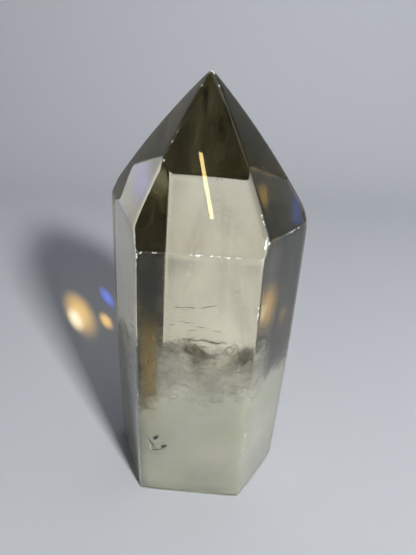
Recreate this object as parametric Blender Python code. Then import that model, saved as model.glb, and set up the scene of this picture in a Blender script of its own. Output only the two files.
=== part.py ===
"""Smoky quartz tower: one six-sided crystal, ground and polished on every face, standing on a sawn base.

The stone is one solid. It is cut out of a block by planes, as a lapidary cuts it. Hand polishing
bends every face outwards a little, most of all along the slopes of the point, and rounds every
edge, so the flat faces are then pressed out into slight domes that run into each other.
Units are metres and degrees. +Z is up, and the origin is the middle of the base.
"""

import math

import bmesh
import bpy
import numpy as np

HEIGHT = 0.100
TIP_SHIFT = (-0.0003, 0.0011)
"""The tip in X and Y: it stands a little behind the middle of the base."""

WAIST = 0.035
"""The height at which the side faces' distances from the axis are given."""

SIDE_FACES = {
    "front": {"faces": -95.5, "from_axis": 0.0188, "lean": -0.75},
    "front_right": {"faces": -38.0, "from_axis": 0.0205, "lean": 0.45},
    "back_right": {"faces": 16.6, "from_axis": 0.0189, "lean": 0.2},
    "back": {"faces": 80.85, "from_axis": 0.0180, "lean": -0.5},
    "back_left": {"faces": 140.2, "from_axis": 0.0186, "lean": 0.5},
    "front_left": {"faces": 200.2, "from_axis": 0.0193, "lean": 0.65},
}
"""Each upright face: the way it faces, its distance from the axis, and how far it leans back."""

POINT_FACES = {
    "front": {"faces": -95.6, "slope": 34.3},
    "front_right": {"faces": -36.6, "slope": 37.3},
    "back_right": {"faces": 20.3, "slope": 34.6},
    "back": {"faces": 80.7, "slope": 30.3},
    "back_left": {"faces": 142.2, "slope": 37.1},
    "front_left": {"faces": 201.8, "slope": 36.1},
}
"""Each face of the point: the way it faces, and its slope away from the axis."""

SIDE_BEND = {"along": 1.8, "across": 3.0}
POINT_BEND = {"along": 0.155, "across": 0.7}
"""The radii of the domes, up a face and across it."""

EDGE_BLEND = 0.00020
"""How softly neighbouring faces run into each other. Their edge sinks by about as much."""
EDGE_BAND = 0.0005
EDGE_BAND_STEPS = 3
FACE_CUTS = 7
"""How many times a face's sides are divided, so that the dome shows."""

SMOKY_QUARTZ = {"colour": (0.78, 0.76, 0.66, 1.0), "roughness": 0.04, "ior": 1.544}


def clear_scene():
    for obj in list(bpy.data.objects):
        bpy.data.objects.remove(obj)


class Face:
    """A plane through a point. Its normal faces the azimuth and points up by the rise."""

    def __init__(self, point, azimuth, rise, bend=None):
        self.point = np.array(point, dtype=float)
        turn, lift = math.radians(azimuth), math.radians(rise)
        outward = np.array([math.cos(turn), math.sin(turn), 0.0])
        upward = np.array([0.0, 0.0, 1.0])
        self.normal = outward * math.cos(lift) + upward * math.sin(lift)
        self.along = upward * math.cos(lift) - outward * math.sin(lift)
        self.across = np.cross(self.along, self.normal)
        self.bend = bend
        self.middle = self.point
        self.rise = 0.0

    def sag(self, places):
        """How far the dome falls away from its top at each place."""
        away = places - self.middle
        up, sideways = away @ self.along, away @ self.across
        return up**2 / (2 * self.bend["along"]) + sideways**2 / (2 * self.bend["across"])

    def raise_over(self, corners):
        """Puts the top of the dome over the middle of the flat face, so high that the corners stay."""
        for way in (self.along, self.across):
            reach = (corners - self.middle) @ way
            self.middle = self.middle + way * (reach.min() + reach.max()) / 2
        if self.bend:
            self.rise = self.sag(corners).mean()

    def height(self, places):
        flat = (places - self.middle) @ self.normal
        return flat + self.sag(places) - self.rise if self.bend else flat

    def slope(self, places):
        """The way straight out of the dome at each place."""
        steady = np.broadcast_to(self.normal, places.shape)
        if not self.bend:
            return steady
        away = places - self.middle
        up = (away @ self.along)[:, None] * self.along / self.bend["along"]
        sideways = (away @ self.across)[:, None] * self.across / self.bend["across"]
        return steady + up + sideways


def stone_faces():
    faces = []
    for side in SIDE_FACES.values():
        turn = math.radians(side["faces"])
        point = (math.cos(turn) * side["from_axis"], math.sin(turn) * side["from_axis"], WAIST)
        faces.append(Face(point, side["faces"], side["lean"], SIDE_BEND))
    meeting_point = (*TIP_SHIFT, HEIGHT + tip_wear())
    for slope in POINT_FACES.values():
        faces.append(Face(meeting_point, slope["faces"], slope["slope"], POINT_BEND))
    faces.append(Face((0.0, 0.0, 0.0), 0.0, -90.0))
    return faces


def tip_wear():
    """How far the rounded tip lies under the point in which the faces of the point would meet."""
    count = len(POINT_FACES)
    mean_slope = math.radians(sum(face["slope"] for face in POINT_FACES.values()) / count)
    return EDGE_BLEND * math.log(count) / math.sin(mean_slope)


def cut_from_block(faces):
    """The stone with flat faces and sharp edges."""
    bm = bmesh.new()
    bmesh.ops.create_cube(bm, size=4 * HEIGHT)
    number_of = bm.faces.layers.int.new("face_number")
    for number, face in enumerate(faces):
        everything = bm.verts[:] + bm.edges[:] + bm.faces[:]
        cut = bmesh.ops.bisect_plane(
            bm, geom=everything, plane_co=face.point, plane_no=face.normal, dist=1e-7, clear_outer=True
        )
        rim = [part for part in cut["geom_cut"] if isinstance(part, bmesh.types.BMEdge)]
        for filled in bmesh.ops.contextual_create(bm, geom=rim)["faces"]:
            filled[number_of] = number
    bmesh.ops.recalc_face_normals(bm, faces=bm.faces)
    for flat in bm.faces:
        corners = np.array([vert.co[:] for vert in flat.verts])
        faces[flat[number_of]].raise_over(corners)
    return bm


def divide(bm):
    """Puts a narrow band along every edge, then a grid of points on every face."""
    bmesh.ops.bevel(
        bm,
        geom=bm.edges[:] + bm.verts[:],
        offset=EDGE_BAND,
        offset_type="OFFSET",
        segments=EDGE_BAND_STEPS,
        profile=0.5,
        affect="EDGES",
        clamp_overlap=False,
    )
    domed = [face for face in bm.faces if face.calc_area() > (20 * EDGE_BAND) ** 2 and face.normal.z > -0.5]
    bmesh.ops.poke(bm, faces=domed)
    long_edges = [edge for edge in bm.edges if edge.calc_length() > 10 * EDGE_BAND]
    bmesh.ops.subdivide_edges(bm, edges=long_edges, cuts=FACE_CUTS, use_grid_fill=True)
    bmesh.ops.triangulate(bm, faces=bm.faces[:])


def press_out(bm, faces):
    """Moves every point straight onto the surface in which all the domes run together."""
    places = np.array([vert.co[:] for vert in bm.verts])
    for _ in range(12):
        heights = np.array([face.height(places) for face in faces])
        highest = heights.max(axis=0)
        shares = np.exp((heights - highest) / EDGE_BLEND)
        total = shares.sum(axis=0)
        height = highest + EDGE_BLEND * np.log(total)
        slopes = np.array([face.slope(places) for face in faces])
        slope = ((shares / total)[:, :, None] * slopes).sum(axis=0)
        places -= slope * (height / (slope**2).sum(axis=1))[:, None]
    stand_on_origin(places)
    for vert, place in zip(bm.verts, places):
        vert.co = place


def stand_on_origin(places):
    """Flattens the base, centres the stone over it, and trims its height to the stated one."""
    places[places[:, 2] < EDGE_BAND / 10, 2] = 0.0
    places[:, :2] -= (places[:, :2].min(axis=0) + places[:, :2].max(axis=0)) / 2
    places[:, 2] *= HEIGHT / places[:, 2].max()


def quartz_material():
    material = bpy.data.materials.new("smoky_quartz")
    material.use_nodes = True
    shader = material.node_tree.nodes["Principled BSDF"]
    shader.inputs["Base Color"].default_value = SMOKY_QUARTZ["colour"]
    shader.inputs["Roughness"].default_value = SMOKY_QUARTZ["roughness"]
    shader.inputs["IOR"].default_value = SMOKY_QUARTZ["ior"]
    shader.inputs["Metallic"].default_value = 0.0
    shader.inputs["Transmission Weight"].default_value = 1.0
    return material


def make_tower():
    faces = stone_faces()
    bm = cut_from_block(faces)
    divide(bm)
    press_out(bm, faces)
    bmesh.ops.recalc_face_normals(bm, faces=bm.faces)
    mesh = bpy.data.meshes.new("quartz_tower")
    bm.to_mesh(mesh)
    bm.free()
    mesh.materials.append(quartz_material())
    tower = bpy.data.objects.new("quartz_tower", mesh)
    bpy.context.scene.collection.objects.link(tower)
    return tower


clear_scene()
make_tower()
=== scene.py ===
import math

import bmesh
import bpy
import numpy as np
from bpy.props import FloatProperty, FloatVectorProperty, IntProperty, PointerProperty
from bpy.types import Operator, Panel, PropertyGroup
from mathutils import Matrix, Vector, noise


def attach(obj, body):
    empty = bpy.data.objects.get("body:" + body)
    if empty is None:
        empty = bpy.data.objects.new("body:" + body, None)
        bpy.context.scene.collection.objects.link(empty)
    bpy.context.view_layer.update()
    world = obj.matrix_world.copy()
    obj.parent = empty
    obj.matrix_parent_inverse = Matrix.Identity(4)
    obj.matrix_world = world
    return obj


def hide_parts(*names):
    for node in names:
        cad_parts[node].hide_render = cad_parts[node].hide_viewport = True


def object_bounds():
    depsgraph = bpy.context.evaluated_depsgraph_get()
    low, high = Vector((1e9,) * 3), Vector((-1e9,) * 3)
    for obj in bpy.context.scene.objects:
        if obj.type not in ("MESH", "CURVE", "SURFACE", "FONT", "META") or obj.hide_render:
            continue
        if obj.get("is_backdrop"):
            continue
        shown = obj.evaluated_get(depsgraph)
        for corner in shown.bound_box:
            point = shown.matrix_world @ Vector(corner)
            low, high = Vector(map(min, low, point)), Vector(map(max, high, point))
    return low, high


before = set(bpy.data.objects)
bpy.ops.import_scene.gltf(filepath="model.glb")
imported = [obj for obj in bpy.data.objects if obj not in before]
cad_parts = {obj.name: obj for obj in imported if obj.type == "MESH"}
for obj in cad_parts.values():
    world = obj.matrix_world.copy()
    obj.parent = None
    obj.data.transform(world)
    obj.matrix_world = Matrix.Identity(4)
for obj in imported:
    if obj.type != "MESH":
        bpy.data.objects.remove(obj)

bl_info = {
    "name": "Smoky quartz tower",
    "version": (1, 0, 0),
    "blender": (4, 5, 0),
    "location": "3D View > Sidebar > Quartz",
    "description": "Builds a polished six-sided smoky quartz tower with a milky foot, and its studio",
    "category": "Add Mesh",
}

CAD_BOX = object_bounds()
NODE = "quartz_tower"

# The stone's shape

HEIGHT = 0.100
TIP_SHIFT = (-0.0003, 0.0011)
"""The tip in X and Y: it stands a little behind the middle of the base."""

WAIST = 0.035
"""The height at which the side faces' distances from the axis are given."""

SIDE_FACES = {
    "front": {"faces": -95.5, "from_axis": 0.0188, "lean": -0.75},
    "front_right": {"faces": -38.0, "from_axis": 0.0205, "lean": 0.45},
    "back_right": {"faces": 16.6, "from_axis": 0.0189, "lean": 0.2},
    "back": {"faces": 80.85, "from_axis": 0.0180, "lean": -0.5},
    "back_left": {"faces": 140.2, "from_axis": 0.0186, "lean": 0.5},
    "front_left": {"faces": 200.2, "from_axis": 0.0193, "lean": 0.65},
}
"""Each upright face: the way it faces, its distance from the axis, and how far it leans back."""

POINT_FACES = {
    "front": {"faces": -95.6, "slope": 34.3},
    "front_right": {"faces": -36.6, "slope": 37.3},
    "back_right": {"faces": 20.3, "slope": 34.6},
    "back": {"faces": 80.7, "slope": 30.3},
    "back_left": {"faces": 142.2, "slope": 37.1},
    "front_left": {"faces": 201.8, "slope": 36.1},
}
"""Each face of the point: the way it faces, and its slope away from the axis."""

SIDE_BEND = {"along": 1.8, "across": 3.0}
POINT_BEND = {"along": 0.155, "across": 0.7}
"""The radii of the domes, up a face and across it."""

EDGE_BLEND = 0.00020
"""How softly neighbouring faces run into each other."""

EDGE_BAND = 0.0005
"""How far the narrow strips along an edge reach from it."""

EDGE_STEPS = 6
WEAR_REACH = 0.00022
"""How fast the wear of an edge dies away from it."""

LAYER_CUTS = 18
LAYER_EDGE_STEPS = 2
"""How finely the layers inside the stone are divided."""

ROW_SHIFT = np.array([0.000151, 0.000235, 0.0])
"""How far the middle of the stone's box lies from the point that the faces are measured from."""


class Face:
    """A plane through a point, pressed out into a slight dome. Its normal points up by the rise."""

    def __init__(self, point, azimuth, rise, bend=None):
        self.point = np.array(point, dtype=float)
        turn, lift = math.radians(azimuth), math.radians(rise)
        outward = np.array([math.cos(turn), math.sin(turn), 0.0])
        upward = np.array([0.0, 0.0, 1.0])
        self.normal = outward * math.cos(lift) + upward * math.sin(lift)
        self.along = upward * math.cos(lift) - outward * math.sin(lift)
        self.across = np.cross(self.along, self.normal)
        self.bend = bend
        self.middle = self.point
        self.rise = 0.0

    def sag(self, places):
        """How far the dome falls away from its top at each place."""
        away = places - self.middle
        up, sideways = away @ self.along, away @ self.across
        return up**2 / (2 * self.bend["along"]) + sideways**2 / (2 * self.bend["across"])

    def raise_over(self, corners):
        """Puts the top of the dome over the middle of the flat face, so high that the corners stay."""
        for way in (self.along, self.across):
            reach = (corners - self.middle) @ way
            self.middle = self.middle + way * (reach.min() + reach.max()) / 2
        if self.bend:
            self.rise = self.sag(corners).mean()

    def height(self, places):
        flat = (places - self.middle) @ self.normal
        return flat + self.sag(places) - self.rise if self.bend else flat

    def slope(self, places):
        """The way straight out of the dome at each place."""
        steady = np.broadcast_to(self.normal, places.shape)
        if not self.bend:
            return steady
        away = places - self.middle
        up = (away @ self.along)[:, None] * self.along / self.bend["along"]
        sideways = (away @ self.across)[:, None] * self.across / self.bend["across"]
        return steady + up + sideways


def stone_faces():
    faces = []
    for side in SIDE_FACES.values():
        turn = math.radians(side["faces"])
        point = (math.cos(turn) * side["from_axis"], math.sin(turn) * side["from_axis"], WAIST)
        faces.append(Face(point, side["faces"], side["lean"], SIDE_BEND))
    slopes = [math.radians(face["slope"]) for face in POINT_FACES.values()]
    wear = EDGE_BLEND * math.log(len(slopes)) / math.sin(sum(slopes) / len(slopes))
    for slope in POINT_FACES.values():
        point = (*TIP_SHIFT, HEIGHT + wear)
        faces.append(Face(point, slope["faces"], slope["slope"], POINT_BEND))
    faces.append(Face((0.0, 0.0, 0.0), 0.0, -90.0))
    return faces


def cut_from_block(faces):
    """The stone with flat faces and sharp edges."""
    bm = bmesh.new()
    bmesh.ops.create_cube(bm, size=4 * HEIGHT)
    number_of = bm.faces.layers.int.new("face_number")
    for number, face in enumerate(faces):
        everything = bm.verts[:] + bm.edges[:] + bm.faces[:]
        cut = bmesh.ops.bisect_plane(
            bm, geom=everything, plane_co=face.point, plane_no=face.normal, dist=1e-7, clear_outer=True
        )
        rim = [part for part in cut["geom_cut"] if isinstance(part, bmesh.types.BMEdge)]
        for filled in bmesh.ops.contextual_create(bm, geom=rim)["faces"]:
            filled[number_of] = number
    bmesh.ops.recalc_face_normals(bm, faces=bm.faces)
    for flat in bm.faces:
        corners = np.array([vert.co[:] for vert in flat.verts])
        faces[flat[number_of]].raise_over(corners)
    return bm


def blended(faces, places, blend, inset=0.0):
    """How far places lie outside the stone, the way out, and each face's share in both."""
    heights = np.array([face.height(places) for face in faces]) + inset
    highest = heights.max(axis=0)
    shares = np.exp((heights - highest) / blend)
    total = shares.sum(axis=0)
    height = highest + blend * np.log(total)
    shares = shares / total
    slopes = np.array([face.slope(places) for face in faces])
    return height, (shares[:, :, None] * slopes).sum(axis=0), shares


def points_of(bm):
    return np.array([vert.co[:] for vert in bm.verts])


def press_out(faces, places, inset=0.0, blend=EDGE_BLEND):
    """Moves places onto the surface in which all the domes run together, or that far inside it."""
    places = places.copy()
    for _ in range(12):
        height, slope, _ = blended(faces, places, blend, inset)
        places -= slope * (height / (slope**2).sum(axis=1))[:, None]
    return places


def divided_stone(faces, cuts, steps):
    """The flat-faced stone with narrow strips along its edges and a grid of points on its faces."""
    bm = cut_from_block(faces)
    bmesh.ops.bevel(
        bm,
        geom=bm.edges[:] + bm.verts[:],
        offset=EDGE_BAND,
        offset_type="OFFSET",
        segments=steps,
        profile=0.5,
        affect="EDGES",
        clamp_overlap=False,
    )
    domed = [face for face in bm.faces if face.calc_area() > (20 * EDGE_BAND) ** 2]
    bmesh.ops.poke(bm, faces=domed)
    long_edges = [edge for edge in bm.edges if edge.calc_length() > 10 * EDGE_BAND]
    bmesh.ops.subdivide_edges(bm, edges=long_edges, cuts=cuts, use_grid_fill=True)
    bmesh.ops.triangulate(bm, faces=bm.faces[:])
    return bm


def layer_of_stone(faces, top=2 * HEIGHT):
    """The points and triangles of a coarser stone up to a height, for the layers inside the stone."""
    bm = divided_stone(faces, LAYER_CUTS, LAYER_EDGE_STEPS)
    high = [face for face in bm.faces if min(vert.co.z for vert in face.verts) > top]
    bmesh.ops.delete(bm, geom=high, context="FACES")
    places = points_of(bm)
    triangles = np.array([[vert.index for vert in face.verts] for face in bm.faces])
    bm.free()
    return places, triangles


def row_place(places, box):
    """Fits the stone into the CAD box: the same middle, base and height."""
    low, high = (np.array(corner) for corner in box)
    mine_low, mine_high = places.min(axis=0), places.max(axis=0)
    return (places - mine_low) / (mine_high - mine_low) * (high - low) + low


# Materials, written as expressions


class Value:
    """A shader socket that takes part in arithmetic."""

    def __init__(self, graph, socket):
        self.graph = graph
        self.socket = socket

    def math(self, operation, *others):
        values = dict(enumerate((self, *others)))
        made = self.graph.node("ShaderNodeMath", {"operation": operation}, values)
        return Value(self.graph, made.outputs[0])

    def __add__(self, other):
        return self.math("ADD", other)

    def __radd__(self, other):
        return self.math("ADD", other)

    def __sub__(self, other):
        return self.math("SUBTRACT", other)

    def __rsub__(self, other):
        return (self * -1.0) + other

    def __mul__(self, other):
        return self.math("MULTIPLY", other)

    def __rmul__(self, other):
        return self.math("MULTIPLY", other)

    def clamped(self):
        return self.math("MAXIMUM", 0.0).math("MINIMUM", 1.0)

    def ramp(self, low, high):
        """0 below low, 1 above high, with a soft start and end. It runs the other way if high < low."""
        if high < low:
            return 1.0 - self.ramp(high, low)
        made = self.graph.node(
            "ShaderNodeMapRange",
            {"interpolation_type": "SMOOTHSTEP"},
            {"Value": self, "From Min": low, "From Max": high},
        )
        return Value(self.graph, made.outputs[0])


class Graph:
    """A material's node tree, built from values."""

    def __init__(self, tree):
        self.tree = tree
        tree.nodes.clear()

    def node(self, kind, settings=None, values=None):
        """A node with its settings set first, then its inputs: numbers are set and Values are linked."""
        made = self.tree.nodes.new(kind)
        for name, setting in (settings or {}).items():
            setattr(made, name, setting)
        for key, value in (values or {}).items():
            if isinstance(value, Value):
                self.tree.links.new(value.socket, made.inputs[key])
            else:
                made.inputs[key].default_value = value
        return made

    def out(self, kind, output, settings=None, values=None):
        return Value(self, self.node(kind, settings, values).outputs[output])

    def place(self):
        return self.out("ShaderNodeTexCoord", "Object")

    def stretched(self, vector, scale, turn=(0.0, 0.0, 0.0)):
        values = {"Vector": vector, "Scale": scale, "Rotation": turn}
        return self.out("ShaderNodeMapping", 0, None, values)

    def noise(self, vector, scale, detail=3.0, rough=0.5, distortion=0.0):
        values = {
            "Vector": vector,
            "Scale": scale,
            "Detail": detail,
            "Roughness": rough,
            "Distortion": distortion,
        }
        return self.out("ShaderNodeTexNoise", 0, None, values)

    def height(self, vector):
        return self.out("ShaderNodeSeparateXYZ", "Z", None, {"Vector": vector})

    def attribute(self, name):
        return self.out("ShaderNodeAttribute", "Fac", {"attribute_name": name})

    def mixed(self, factor, first, second):
        """A colour between two colours."""
        made = self.node("ShaderNodeMix", {"data_type": "RGBA"}, {0: factor, 6: first, 7: second})
        return Value(self, made.outputs[2])

    def bump(self, height, distance, strength=1.0):
        values = {"Height": height, "Distance": distance, "Strength": strength}
        return self.out("ShaderNodeBump", 0, None, values)

    def principled(self, values):
        return self.out("ShaderNodeBsdfPrincipled", 0, None, values)

    def blend_shaders(self, factor, first, second):
        return self.out("ShaderNodeMixShader", 0, None, {0: factor, 1: first, 2: second})

    def finish(self, surface, volume=None):
        output = self.node("ShaderNodeOutputMaterial", None, {"Surface": surface})
        if volume:
            self.tree.links.new(volume.socket, output.inputs["Volume"])


def new_material(name):
    """An empty material and the graph that fills it."""
    material = bpy.data.materials.new(name)
    material.use_nodes = True
    return material, Graph(material.node_tree)


def rgba(colour):
    return (*colour, 1.0)


# Settings


class StoneSettings(PropertyGroup):
    tint: FloatVectorProperty(
        name="Smoke",
        description="What is left of white light's colour, by how little the stone takes out",
        subtype="COLOR",
        size=3,
        min=0.0,
        max=1.0,
        default=(0.885, 0.872, 0.812),
    )
    depth: FloatProperty(
        name="Smoke depth", description="How fast light is taken out, per metre", default=110.0, min=0.0
    )
    cuts: IntProperty(
        name="Face cuts", description="How finely each face is divided", default=30, min=4, max=60
    )


class MilkSettings(PropertyGroup):
    colour: FloatVectorProperty(
        name="Milk",
        description="Colour of the cloudy quartz near the base",
        subtype="COLOR",
        size=3,
        min=0.0,
        max=1.0,
        default=(0.90, 0.96, 0.74),
    )
    light: FloatVectorProperty(
        name="Pale milk",
        description="Colour of the milk where it is palest",
        subtype="COLOR",
        size=3,
        min=0.0,
        max=1.0,
        default=(1.0, 1.0, 0.90),
    )


class PaintedShadeAndBandSettings(PropertyGroup):
    # The painted shade's colour where it is darkest.
    dark: FloatVectorProperty(
        name="Dark smoke",
        description="Colour of the smoky zone where it is darkest",
        subtype="COLOR",
        size=3,
        min=0.0,
        max=1.0,
        default=(0.025, 0.027, 0.014),
    )
    # The colour of the painted amber light low on the front face's left edge.
    painted_amber: FloatVectorProperty(
        name="Amber",
        description="Colour of the smoky zone low on the front face's left edge",
        subtype="COLOR",
        size=3,
        min=0.0,
        max=1.0,
        default=(0.42, 0.29, 0.06),
    )
    bands: FloatProperty(
        name="Growth bands", description="How strongly the warm bands show", default=0.11, min=0.0, max=1.0
    )


class FlawSettings(PropertyGroup):
    cracks: FloatVectorProperty(
        name="Cracks",
        description="Colour of the thin cracks",
        subtype="COLOR",
        size=3,
        min=0.0,
        max=1.0,
        default=(0.10, 0.09, 0.06),
    )
    specks: FloatVectorProperty(
        name="Specks",
        description="Colour of the bright specks",
        subtype="COLOR",
        size=3,
        min=0.0,
        max=1.0,
        default=(0.97, 0.96, 0.90),
    )


class StageSettings(PropertyGroup):
    floor: FloatVectorProperty(
        name="Floor",
        description="Colour of the floor and backdrop",
        subtype="COLOR",
        size=3,
        min=0.0,
        max=1.0,
        default=(0.58, 0.61, 0.665),
    )
    lens: FloatProperty(
        name="Lens", description="Focal length of the camera", default=36.09, min=5.0, unit="CAMERA"
    )


# Pieces


def add_piece(name, places, polygons, material, normals=None):
    mesh = bpy.data.meshes.new(name)
    mesh.from_pydata(places.tolist(), [], polygons)
    mesh.shade_smooth()
    if normals is not None:
        mesh.normals_split_custom_set_from_vertices(normals.tolist())
    mesh.materials.append(material)
    piece = bpy.data.objects.new(name, mesh)
    bpy.context.scene.collection.objects.link(piece)
    return piece


def belongs(piece):
    """Every piece is part of the one stone, and stands for it with the others."""
    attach(piece, "root")
    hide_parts(NODE)
    return piece


def add_values(piece, name, values):
    """Stores one number at each point, for the piece's material."""
    layer = piece.data.attributes.new(name, "FLOAT", "POINT")
    layer.data.foreach_set("value", values)


def drop_loose(piece):
    """Removes the points that no face uses."""
    bm = bmesh.new()
    bm.from_mesh(piece.data)
    bmesh.ops.delete(bm, geom=[vert for vert in bm.verts if not vert.link_faces], context="VERTS")
    bm.to_mesh(piece.data)
    bm.free()


def glass_material(settings):
    """Clear quartz, smoky with depth, with chips along its edges and a matt sawn base."""
    material, graph = new_material("smoky_quartz")
    place = graph.place()
    wear = graph.attribute("edge_wear")
    chips = graph.noise(place, 1400.0, 2.0, 0.6)
    patches = graph.noise(place, 110.0, 1.0).ramp(0.42, 0.62)
    chipped = (wear + (chips - 0.5) * patches * 2.4).ramp(0.97, 1.05)
    sawn = graph.height(place).ramp(0.0002, 0.0)
    scratch = graph.noise(graph.stretched(place, (1.0, 1.0, 0.12)), 2500.0, 1.0)
    haze = graph.noise(place, 60.0, 1.0)
    rough = 0.004 + haze.ramp(0.5, 0.8) * 0.02 + scratch.ramp(0.6, 0.75) * 0.015
    bump = graph.bump(graph.noise(place, 130.0, 0.0), 0.00001, 0.6)
    clear = graph.principled(
        {
            "Base Color": (1.0, 1.0, 1.0, 1.0),
            "Roughness": rough,
            "IOR": 1.544,
            "Transmission Weight": 1.0,
            "Normal": bump,
        }
    )
    ground = graph.principled(
        {
            "Base Color": (0.88, 0.90, 0.84, 1.0),
            "Roughness": 0.55,
            "Normal": graph.bump(chips, 0.0002, 0.8),
        }
    )
    volume = graph.out(
        "ShaderNodeVolumeAbsorption",
        0,
        None,
        {"Color": rgba(settings.tint), "Density": settings.depth},
    )
    ground_off = (chipped * 0.8 + wear.ramp(0.75, 1.0) * 0.08 + sawn).clamped()
    graph.finish(graph.blend_shaders(ground_off, clear, ground), volume)
    return material


def milk_material(settings):
    """Cloudy quartz: how much of it a layer holds follows one cloud through the whole foot."""
    material, graph = new_material("milky_quartz")
    place = graph.place()
    fullness = graph.attribute("fullness")
    cloud = graph.noise(place, 170.0, 2.0, 0.6)
    wool = graph.noise(graph.stretched(place, (1.0, 1.0, 1.6), turn=(0.3, 0.2, 0.0)), 420.0, 4.0, 0.62)
    edge = fullness + (cloud - 0.5) * 1.1 + (wool - 0.5) * 0.5
    alpha = edge.ramp(0.2, 0.75) * graph.attribute("thickness")
    mottled = (cloud * 0.65 + wool * 0.35).ramp(0.4, 0.6)
    tone = graph.mixed(mottled, rgba(settings.colour), rgba(settings.light))
    fleece = graph.mixed(wool.ramp(0.35, 0.6), (0.74, 0.76, 0.68, 1.0), (1.0, 1.0, 0.99, 1.0))
    surface = graph.principled(
        {
            "Base Color": graph.mixed(graph.attribute("fleece"), tone, fleece),
            "Roughness": 0.8,
            "Specular IOR Level": 0.0,
            "Alpha": alpha.clamped(),
        }
    )
    graph.finish(surface)
    return material


def moss_material():
    """Dark specks strewn over a healed crack, with pale threads between them."""
    material, graph = new_material("moss_veil")
    place = graph.place()
    specks = graph.noise(place, 1500.0, 4.0, 0.65, 1.0)
    patches = graph.noise(place, 420.0, 3.0)
    fullness = graph.attribute("fullness")
    alpha = (specks + patches * 1.1 + fullness * 0.4).ramp(1.28, 1.46) * 0.8
    tone = graph.mixed(specks.ramp(0.5, 0.75), (0.16, 0.16, 0.05, 1.0), (0.62, 0.63, 0.42, 1.0))
    values = {"Base Color": tone, "Roughness": 0.7, "Specular IOR Level": 0.1, "Alpha": alpha}
    graph.finish(graph.principled(values))
    return material


def painted_shade_material(settings):
    """Painted shade: a sheet from nearly black, for the dark seen through the stone, to painted amber
    light.
    """
    material, graph = new_material("painted_shade_zone")
    place = graph.place()
    uneven = graph.noise(graph.stretched(place, (1.0, 1.0, 0.5)), 160.0, 3.0)
    painted_amber = (graph.attribute("painted_amber") + (uneven - 0.5) * 0.8).clamped()
    tone = graph.mixed(painted_amber, rgba(settings.dark), rgba(settings.painted_amber))
    alpha = graph.attribute("fullness") * (0.85 + (uneven - 0.5) * 0.6)
    values = {"Base Color": tone, "Roughness": 0.9, "Specular IOR Level": 0.0, "Alpha": alpha.clamped()}
    graph.finish(graph.principled(values))
    return material


def crack_material(name, colour, strength):
    """A thin crack, densest in its middle."""
    material, graph = new_material(name)
    place = graph.place()
    broken = graph.noise(place, 1500.0, 3.0).ramp(0.3, 0.5)
    alpha = graph.attribute("fullness") * broken * strength
    tone = graph.mixed(broken, rgba(colour), rgba([part * 0.6 for part in colour]))
    values = {"Base Color": tone, "Roughness": 0.4, "Specular IOR Level": 0.3, "Alpha": alpha.clamped()}
    graph.finish(graph.principled(values))
    return material


class QUARTZ_OT_stone(Operator):
    """Builds the clear polished stone over the CAD solid"""

    bl_idname = "quartz.stone"
    bl_label = "Stone"

    def execute(self, context):
        settings = context.scene.quartz_stone
        faces = stone_faces()
        bm = divided_stone(faces, settings.cuts, EDGE_STEPS)
        places = press_out(faces, points_of(bm))
        triangles = [[vert.index for vert in face.verts] for face in bm.faces]
        bm.free()
        _, normals, _ = blended(faces, places, EDGE_BLEND)
        normals /= np.linalg.norm(normals, axis=1)[:, None]
        _, _, shares = blended(faces, places, WEAR_REACH)
        fitted = row_place(places, CAD_BOX)
        piece = add_piece("stone", fitted, triangles, glass_material(settings), normals)
        add_values(piece, "edge_wear", (2 * (1 - shares.max(axis=0))).clip(0, 1))
        belongs(piece)
        return {"FINISHED"}


MILK_SHELLS = (
    (0.0004, 0.40),
    (0.0012, 0.34),
    (0.0022, 0.34),
    (0.0035, 0.40),
    (0.0052, 0.48),
    (0.0074, 0.60),
    (0.0102, 1.20),
)
"""The depth of each layer under the faces, and the share of the light that it stops."""

MILK_TOPS = (
    (0.0030, 0.35, 0.20),
    (0.0014, 0.50, 0.36),
    (-0.0002, 0.75, 0.52),
    (-0.0022, 0.95, 0.80),
    (-0.0046, 1.30, 1.60),
)
"""Each woolly layer of the cloud's top: its height over the top, its thickness and its density."""

MILK_GRID = np.linspace(-0.0225, 0.0225, 76)
MILK_HIGHEST = 0.062


def milk_top(places):
    """The height of the cloud's top. It dips on the left of the front face, and rolls at the back."""
    dip = 1.6 * np.maximum(0.0, -places[:, 0] - 0.009).clip(0.0, 0.009)
    behind = ((places[:, 1] + 0.002) / 0.014).clip(0.0, 1.0)
    rolls = [noise.noise(Vector((x / 0.014, y / 0.014, 4.2))) for x, y in places[:, :2]]
    swells = [noise.noise(Vector((x / 0.008, y / 0.011, 7.7))) for x, y in places[:, :2]]
    raised = (1.0 - behind) * (0.0018 + 0.004 * np.array(swells))
    return 0.0346 - dip - behind * 0.004 * np.abs(rolls) + raised


def milk_shells(faces):
    """Layers just under the faces, one inside the other, that end a little over the cloud's top."""
    start, triangles = layer_of_stone(faces, MILK_HIGHEST)
    for inset, thickness in MILK_SHELLS:
        places = press_out(faces, start, inset, 0.0006 + inset * 0.1) + ROW_SHIFT
        in_front = (0.3 - places[:, 1] / 0.008).clip(0.0, 1.0)
        deep = min(1.0, inset / 0.004)
        lift = 0.006 * deep * in_front - 0.001
        density = 0.5 + (milk_top(places) + lift - places[:, 2]) / (0.009 + lift)
        yield places, triangles, thickness, density, deep * 0.6


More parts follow.
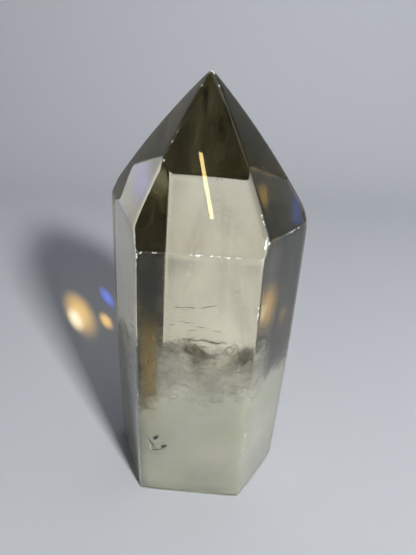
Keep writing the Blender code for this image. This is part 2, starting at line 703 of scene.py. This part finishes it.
def milk_layers(faces):
    """Woolly sheets, one over the other, that make the cloud's top."""
    count = len(MILK_GRID)
    corner = np.arange(count * count).reshape(count, count)
    around = (corner[:-1, :-1], corner[1:, :-1], corner[1:, 1:], corner[:-1, 1:])
    squares = np.stack(around, axis=-1).reshape(-1, 4)
    for number, (offset, thickness, density) in enumerate(MILK_TOPS):
        x, y = (part.ravel() for part in np.meshgrid(MILK_GRID, MILK_GRID, indexing="ij"))
        places = np.stack([x, y, np.zeros_like(x)], axis=1)
        places[:, 2] = milk_top(places) + offset
        for place in places:
            spot = Vector((place[0] / 0.005, place[1] / 0.005, number * 1.3))
            place[2] += 0.0024 * noise.fractal(spot, 0.9, 2.1, 5)
        outside, _, _ = blended(faces, places - ROW_SHIFT, 0.0006, 0.0006)
        quads = squares[(outside < 0)[squares].all(axis=1)]
        yield places, quads, thickness, np.full(len(places), density), 1.0


class QUARTZ_OT_milk(Operator):
    """Builds the cloudy quartz inside the foot of the stone, as layers one inside the other"""

    bl_idname = "quartz.milk"
    bl_label = "Milk"

    def execute(self, context):
        settings = context.scene.quartz_milk
        faces = stone_faces()
        places, corners = [], []
        layers = {"thickness": [], "fullness": [], "fleece": []}
        total = 0
        for spots, polygons, thickness, density, fleece in (*milk_shells(faces), *milk_layers(faces)):
            patchy = [1.0 + 0.25 * noise.noise(Vector(spot) * 75.0) for spot in spots]
            places.append(spots)
            corners += (polygons + total).tolist()
            total += len(spots)
            layers["thickness"].append(thickness * np.array(patchy))
            layers["fullness"].append(density)
            layers["fleece"].append(np.full(len(spots), fleece))
        piece = add_piece("milk", np.concatenate(places), corners, milk_material(settings))
        for name, values in layers.items():
            add_values(piece, name, np.concatenate(values))
        drop_loose(piece)
        belongs(piece)
        return {"FINISHED"}


CRACKS = (
    ((-0.0030, 0.000, 0.0521), 0.0058, 0.0034, 0.0, 21.0),
    ((0.0022, 0.003, 0.0514), 0.0046, 0.0030, 13.0, 20.0),
    ((-0.0036, -0.002, 0.0490), 0.0042, 0.0024, -4.0, 21.0),
    ((0.0006, 0.001, 0.0466), 0.0030, 0.0024, -7.0, 21.0),
    ((-0.0012, 0.004, 0.0444), 0.0024, 0.0022, 6.0, 21.0),
    ((0.0046, 0.002, 0.0452), 0.0019, 0.0022, -9.0, 20.0),
    ((0.0082, 0.000, 0.0566), 0.0013, 0.0018, -4.0, 18.0),
    ((-0.0062, 0.003, 0.0462), 0.0016, 0.0022, 12.0, 21.0),
    ((0.0012, -0.003, 0.0428), 0.0030, 0.0026, -3.0, 21.0),
)
"""Each thin crack: its middle, its length, its depth, and its tilt sideways and towards the back."""

BANDS = (
    ((0.0044, 0.000, 0.0620), 0.0260, 0.0030, 90.0),
    ((-0.0026, 0.001, 0.0600), 0.0240, 0.0050, 74.0),
    ((-0.0072, 0.000, 0.0540), 0.0260, 0.0050, 88.0),
    ((0.0092, 0.000, 0.0520), 0.0240, 0.0044, 104.0),
    ((0.0040, 0.002, 0.0700), 0.0200, 0.0070, 118.0),
)
"""Each faint warm band that the stone's growth left: its middle, length, width and turn."""


MOSS = (
    ((0.0030, 0.006, 0.0405), 0.0140, 0.0075, -2.0, 13.0, 10, 48, 3.0),
    ((-0.0025, 0.004, 0.0420), 0.0060, 0.0045, 8.0, 14.0, 8, 32, 7.0),
    ((0.0168, -0.002, 0.0430), 0.0040, 0.0030, -12.0, 14.0, 8, 32, 9.0),
)
"""Each patch of moss: its middle, length, depth, tilts, rings, spokes and seed."""

PIT_RIM = (
    ((-0.0118, -0.01750, 0.0183), 0.0068, 0.0007, 2.0, 101.0),
    ((-0.0112, -0.01750, 0.0158), 0.0022, 0.0006, 3.0, 20.0),
)
PIT = (
    ((-0.0103, -0.01755, 0.0209), 0.0021, 0.0014, 4.0, 60.0),
    ((-0.0112, -0.01750, 0.0188), 0.0048, 0.0004, 8.0, 118.0),
    ((-0.0083, -0.01770, 0.0180), 0.0023, 0.0011, 6.0, 20.0),
    ((-0.0098, -0.01770, 0.0168), 0.0038, 0.0004, 5.0, 12.0),
)
"""Each pale and each dark mark of the pit: its middle, length, width, seed and turn."""

FLECK_SWARMS = (
    (46, (-0.0125, -0.014, 0.030), (-0.0075, 0.010, 0.062)),
    (60, (-0.012, -0.014, 0.034), (0.014, 0.012, 0.058)),
    (40, (-0.015, -0.0165, 0.004), (0.013, 0.010, 0.034)),
)
"""Each swarm of bright specks: how many there are, and the lowest and highest corner of their box."""

FLECK_SEED = 11


def blot(middle, length, depth, sideways, back, rings=6, spokes=28, seed=0.0, turn=0.0):
    """A ragged flat patch, densest in the middle, and how dense it is at each point."""
    places, density = [], []
    for ring in range(rings + 1):
        for spoke in range(spokes):
            angle = 2 * math.pi * spoke / spokes
            way = Vector((math.cos(angle), math.sin(angle), 0.0))
            ragged = 1 + 0.35 * noise.noise(way * 1.7 + Vector((0.0, 0.0, seed)))
            reach = way * (ragged * ring / rings)
            up = 0.10 * noise.noise(reach * 2 + Vector((0.0, 0.0, seed + 5)))
            places.append((reach.x * length / 2, reach.y * depth / 2, up * depth))
            density.append(1 - (ring / rings) ** 2)
    turned = Matrix.Rotation(math.radians(turn), 3, "Z")
    tilt = Matrix.Rotation(math.radians(-sideways), 3, "Y") @ Matrix.Rotation(math.radians(-back), 3, "X")
    places = np.array([(tilt @ turned @ Vector(place) + Vector(middle))[:] for place in places])
    quads = []
    for ring in range(rings):
        for spoke in range(spokes):
            following = (spoke + 1) % spokes
            quads.append(
                (
                    ring * spokes + spoke,
                    ring * spokes + following,
                    (ring + 1) * spokes + following,
                    (ring + 1) * spokes + spoke,
                )
            )
    return places, np.array(quads), np.array(density)


def add_blots(name, blots, material):
    """One piece made of many patches."""
    places, quads, density = [], [], []
    total = 0
    for spots, corners, values in blots:
        places.append(spots)
        quads += (corners + total).tolist()
        density.append(values)
        total += len(spots)
    piece = add_piece(name, np.concatenate(places), quads, material)
    add_values(piece, "fullness", np.concatenate(density))
    return belongs(piece)


def add_painted_shade_zone(settings):
    """One layer 1 mm under the right-hand faces and under the left edge of the front face, that paints the
    shade seen through them, with painted amber light low on that edge.
    """
    faces = stone_faces()
    start, triangles = layer_of_stone(faces)
    places = press_out(faces, start, 0.001, 0.0004)
    _, _, shares = blended(faces, places, 0.0002)
    front, right, right_slope = shares[0], shares[1], shares[len(SIDE_FACES) + 1]
    places = places + ROW_SHIFT
    x, y, z = places.T
    off_edge = ((y + 0.0160) / 0.0035).clip(0.1, 1)
    over_milk = ((z - 0.034) / 0.008).clip(0, 1)
    near_left = ((-0.0094 - x) / 0.0006).clip(0, 1) * ((z - 0.018) / 0.012).clip(0, 1)
    darker_up = 0.66 + 0.26 * ((z - 0.046) / 0.012).clip(0, 1)
    # How much painted shade each point holds.
    painted_shade_amount = right * off_edge * over_milk * 0.86 + right_slope * 0.62 + front * near_left * darker_up
    kept = painted_shade_amount[triangles].max(axis=1) > 0.01
    piece = add_piece("painted_shade_zone", places, triangles[kept].tolist(), painted_shade_material(settings))
    add_values(piece, "fullness", painted_shade_amount)
    add_values(piece, "painted_amber", (front * ((0.058 - z) / 0.010)).clip(0, 1))
    drop_loose(piece)
    return belongs(piece)


class QUARTZ_OT_painted_shade_and_bands(Operator):
    """Builds the painted shade at the sides, with its painted amber light, and the faint warm bands of
    growth
    """

    bl_idname = "quartz.smoke"
    bl_label = "Smoke"

    def execute(self, context):
        settings = context.scene.quartz_smoke
        add_painted_shade_zone(settings)
        bands = [
            blot(middle, length, width, 0.0, -68.0, rings=6, spokes=32, seed=number * 2.3, turn=turn)
            for number, (middle, length, width, turn) in enumerate(BANDS)
        ]
        material = crack_material("growth_band", (0.62, 0.50, 0.40), settings.bands)
        add_blots("growth_bands", bands, material)
        return {"FINISHED"}


class QUARTZ_OT_flaws(Operator):
    """Builds the flaws: the dark mossy veil, the thin cracks, the bright specks and the pit"""

    bl_idname = "quartz.flaws"
    bl_label = "Flaws"

    def execute(self, context):
        settings = context.scene.quartz_flaws
        add_blots("moss_veil", [blot(*patch) for patch in MOSS], moss_material())
        cracks = [
            blot(middle, length, depth, sideways, back, rings=4, spokes=24, seed=number * 1.7)
            for number, (middle, length, depth, sideways, back) in enumerate(CRACKS)
        ]
        add_blots("cracks", cracks, crack_material("crack", settings.cracks, 1.0))
        add_blots("flecks", list(self.flecks()), crack_material("fleck", settings.specks, 1.6))
        self.add_marks("pit_rim", PIT_RIM, (0.95, 0.96, 0.90), 1.0)
        self.add_marks("pit", PIT, (0.07, 0.07, 0.05), 1.3)
        return {"FINISHED"}

    def add_marks(self, name, marks, colour, strength):
        """Short marks that lie in the front face."""
        blots = [
            blot(middle, length, width, 0.0, -89.0, rings=4, spokes=24, seed=seed, turn=turn)
            for middle, length, width, seed, turn in marks
        ]
        add_blots(name, blots, crack_material(name, colour, strength))

    def flecks(self):
        """Tiny bright specks strewn through the stone."""
        random = np.random.default_rng(FLECK_SEED)
        for count, low, high in FLECK_SWARMS:
            for _ in range(count):
                middle = random.uniform(low, high)
                size = random.uniform(0.00012, 0.00034)
                tilts = random.uniform(-80, 80, 2)
                yield blot(middle, size, size * 0.6, *tilts, rings=2, spokes=6, seed=random.uniform(0, 50))


# The stage

PAINTED_LIGHT_POOLS = (
    ((0.008, 0.088), (0.040, 0.072), 0.0, 0.45, (0.44, 0.43, 0.42)),
    ((0.012, 0.072), (0.012, 0.030), 24.0, 0.0, (0.58, 0.58, 0.58)),
    ((-0.002, 0.112), (0.010, 0.028), -20.0, 0.0, (0.53, 0.52, 0.51)),
    ((-0.050, 0.066), (0.007, 0.024), 27.0, 0.1, (0.70, 0.42, 0.08)),
    ((-0.0505, 0.061), (0.0035, 0.012), 27.0, 0.1, (1.0, 0.86, 0.55)),
    ((-0.0375, 0.060), (0.003, 0.009), 27.0, 0.1, (0.75, 0.45, 0.08)),
    ((-0.0405, 0.079), (0.003, 0.013), 27.0, 0.1, (0.05, 0.10, 0.60)),
    ((-0.0225, 0.057), (0.0035, 0.010), 27.0, 0.1, (0.05, 0.10, 0.60)),
    ((0.037, 0.060), (0.005, 0.012), -30.0, 0.1, (0.20, 0.18, 0.62)),
)
# Pools of light painted on the floor as glow, where the stone would bend light: where, how large, its turn,
# its core and its colour.
"""Light that the stone has bent onto the floor: where, how large, its turn, its core and its colour."""

FLOOR_FRONT, FLOOR_BACK, FLOOR_SIDE = -0.9, 0.22, 1.2
BACKDROP_BEND, BACKDROP_TOP = 0.2, 1.2

STONE_MIDDLE = (0.0, 0.0, 0.05)
SOFT_LIGHTS = {
    "key": ((0.31, -0.537, 0.42), STONE_MIDDLE, (0.09, 0.09), 6.3, (1.0, 0.98, 0.95)),
    "overhead": ((0.15, 0.1, 0.9), STONE_MIDDLE, (0.5, 0.5), 0.5),
}
"""Each light: its place, what it points at, its size in metres, its power in watts and its colour."""

LAMP_ENDS = ((-0.065, -0.276, 0.502), (-0.052, -0.4015, 0.3926))
LAMP_TARGET = (-0.001, -0.013, 0.082)
LAMP_WIDTH, LAMP_POWER, LAMP_COLOUR = 0.006, 0.06, (1.0, 0.74, 0.30)

CAMERA_PLACE = (-0.00395, -0.08707, 0.104)
CAMERA_TURN = (3.4, 29.0, 3.2)
"""The camera's turn to the right, its tilt down and its lean."""


def floor_material(colour):
    """A matt pale floor, with pools of white and coloured light painted on it as glow, where a crystal
    would bend light.
    """
    material, graph = new_material("floor")
    place = graph.place()
    # Painted light: glowing pools on the floor that stand in for light bent by the stone.
    painted_glow = rgba((0.0, 0.0, 0.0))
    for middle, size, turn, core, tint in PAINTED_LIGHT_POOLS:
        values = {
            "Vector": place,
            "Location": (*middle, 0.0),
            "Rotation": (0.0, 0.0, math.radians(turn)),
            "Scale": (*size, 1.0),
        }
        spot = graph.out("ShaderNodeMapping", 0, {"vector_type": "TEXTURE"}, values)
        away = graph.out("ShaderNodeVectorMath", "Value", {"operation": "LENGTH"}, {0: spot})
        painted_glow = graph.mixed(away.ramp(1.0, core), painted_glow, rgba(tint))
    grain = graph.noise(place, 900.0, 3.0)
    darker, paler = ([part * share for part in colour] for share in (0.985, 1.015))
    tone = graph.mixed(grain, rgba(darker), rgba(paler))
    values = {
        "Base Color": tone,
        "Roughness": 0.85,
        "Specular IOR Level": 0.2,
        "Emission Color": painted_glow,
        "Emission Strength": 1.0,
    }
    graph.finish(graph.principled(values))
    return material


def sweep_of_floor():
    """A floor that curves up behind the stone."""
    profile = [(FLOOR_FRONT, 0.0), (FLOOR_BACK, 0.0)]
    for step in range(1, 13):
        turn = math.radians(90 * step / 12)
        out = FLOOR_BACK + BACKDROP_BEND * math.sin(turn)
        profile.append((out, BACKDROP_BEND - BACKDROP_BEND * math.cos(turn)))
    profile.append((FLOOR_BACK + BACKDROP_BEND, BACKDROP_TOP))
    places = [(x, y, z) for y, z in profile for x in (-FLOOR_SIDE, FLOOR_SIDE)]
    quads = [(2 * i, 2 * i + 1, 2 * i + 3, 2 * i + 2) for i in range(len(profile) - 1)]
    return np.array(places), quads


def add_light(name, place, target, size, power, colour=(1.0, 1.0, 1.0)):
    data = bpy.data.lights.new(name, "AREA")
    data.shape = "RECTANGLE"
    data.size, data.size_y = size
    data.energy = power
    data.color = colour
    light = bpy.data.objects.new(name, data)
    bpy.context.scene.collection.objects.link(light)
    light.location = place
    light.rotation_euler = (Vector(target) - Vector(place)).to_track_quat("-Z", "Y").to_euler()
    return light


class QUARTZ_OT_stage(Operator):
    """Builds the floor, the lights and the camera"""

    bl_idname = "quartz.stage"
    bl_label = "Stage"

    def execute(self, context):
        settings = context.scene.quartz_stage
        places, quads = sweep_of_floor()
        floor = add_piece("floor", places, quads, floor_material(settings.floor))
        floor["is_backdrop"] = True
        world = bpy.data.worlds.new("studio")
        context.scene.world = world
        world.use_nodes = True
        self.fill_world(Graph(world.node_tree))
        for name, values in SOFT_LIGHTS.items():
            add_light(name, *values)
        self.add_lamp()
        self.add_camera(context, settings)
        context.scene.view_settings.view_transform = "Standard"
        context.scene.cycles.transparent_max_bounces = 40
        context.scene.cycles.sample_clamp_indirect = 80.0
        return {"FINISHED"}

    def fill_world(self, graph):
        """A dim fill light. Where the room itself is seen, beyond the floor, it is as pale as the floor."""
        seen = graph.out("ShaderNodeLightPath", "Is Camera Ray")
        fill, room = (
            graph.out("ShaderNodeBackground", 0, None, {"Color": rgba(colour), "Strength": strength})
            for colour, strength in (((0.80, 0.86, 1.0), 0.06), ((0.36, 0.385, 0.42), 1.0))
        )
        graph.node("ShaderNodeOutputWorld", None, {"Surface": graph.blend_shaders(seen, fill, room)})

    def add_lamp(self):
        """A slim warm lamp. The front face of the point mirrors it as a bent streak."""
        top, foot = (Vector(end) for end in LAMP_ENDS)
        centre = (top + foot) / 2
        down = (foot - top).normalized()
        facing = (Vector(LAMP_TARGET) - centre).normalized()
        facing = (facing - down * facing.dot(down)).normalized()
        size = (LAMP_WIDTH, (foot - top).length)
        lamp = add_light("lamp", centre, centre + facing, size, LAMP_POWER, LAMP_COLOUR)
        turn = Matrix((down.cross(-facing), down, -facing)).transposed()
        lamp.rotation_euler = turn.to_euler()

    def add_camera(self, context, settings):
        yaw, pitch, roll = (math.radians(angle) for angle in CAMERA_TURN)
        level = Vector((math.sin(yaw), math.cos(yaw), 0.0))
        forward = level * math.cos(pitch) - Vector((0.0, 0.0, math.sin(pitch)))
        right = Vector((math.cos(yaw), -math.sin(yaw), 0.0))
        up = right.cross(forward)
        turned_right = right * math.cos(roll) + up * math.sin(roll)
        turned_up = up * math.cos(roll) - right * math.sin(roll)
        data = bpy.data.cameras.new("camera")
        data.sensor_fit = "HORIZONTAL"
        data.sensor_width = 36.0
        data.lens = settings.lens
        data.clip_start = 0.005
        camera = bpy.data.objects.new("camera", data)
        context.scene.collection.objects.link(camera)
        turn = Matrix((turned_right, turned_up, -forward)).transposed()
        camera.matrix_world = Matrix.Translation(CAMERA_PLACE) @ turn.to_4x4()
        context.scene.camera = camera


class QUARTZ_PT_panel(Panel):
    """Settings of the tower, with a button for each piece"""

    bl_label = "Smoky quartz tower"
    bl_space_type = "VIEW_3D"
    bl_region_type = "UI"
    bl_category = "Quartz"

    def draw(self, context):
        for group, operator in zip(GROUPS, OPERATORS):
            box = self.layout.box()
            settings = getattr(context.scene, group)
            for name in settings.__annotations__:
                box.prop(settings, name)
            box.operator(operator.bl_idname)


GROUPS = {
    "quartz_stone": StoneSettings,
    "quartz_milk": MilkSettings,
    "quartz_smoke": PaintedShadeAndBandSettings,
    "quartz_flaws": FlawSettings,
    "quartz_stage": StageSettings,
}
OPERATORS = (QUARTZ_OT_stone, QUARTZ_OT_milk, QUARTZ_OT_painted_shade_and_bands, QUARTZ_OT_flaws, QUARTZ_OT_stage)
CLASSES = (*GROUPS.values(), *OPERATORS, QUARTZ_PT_panel)


def register():
    for cls in CLASSES:
        bpy.utils.register_class(cls)
    for name, group in GROUPS.items():
        setattr(bpy.types.Scene, name, PointerProperty(type=group))


def unregister():
    for name in GROUPS:
        delattr(bpy.types.Scene, name)
    for cls in reversed(CLASSES):
        bpy.utils.unregister_class(cls)


def main():
    register()
    bpy.ops.quartz.stone()
    bpy.ops.quartz.milk()
    bpy.ops.quartz.smoke()
    bpy.ops.quartz.flaws()
    bpy.ops.quartz.stage()
    boxes = {"cad": CAD_BOX, "built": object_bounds()}
    {name: [list(corner) for corner in box] for name, box in boxes.items()}


if __name__ == "__main__":
    main()
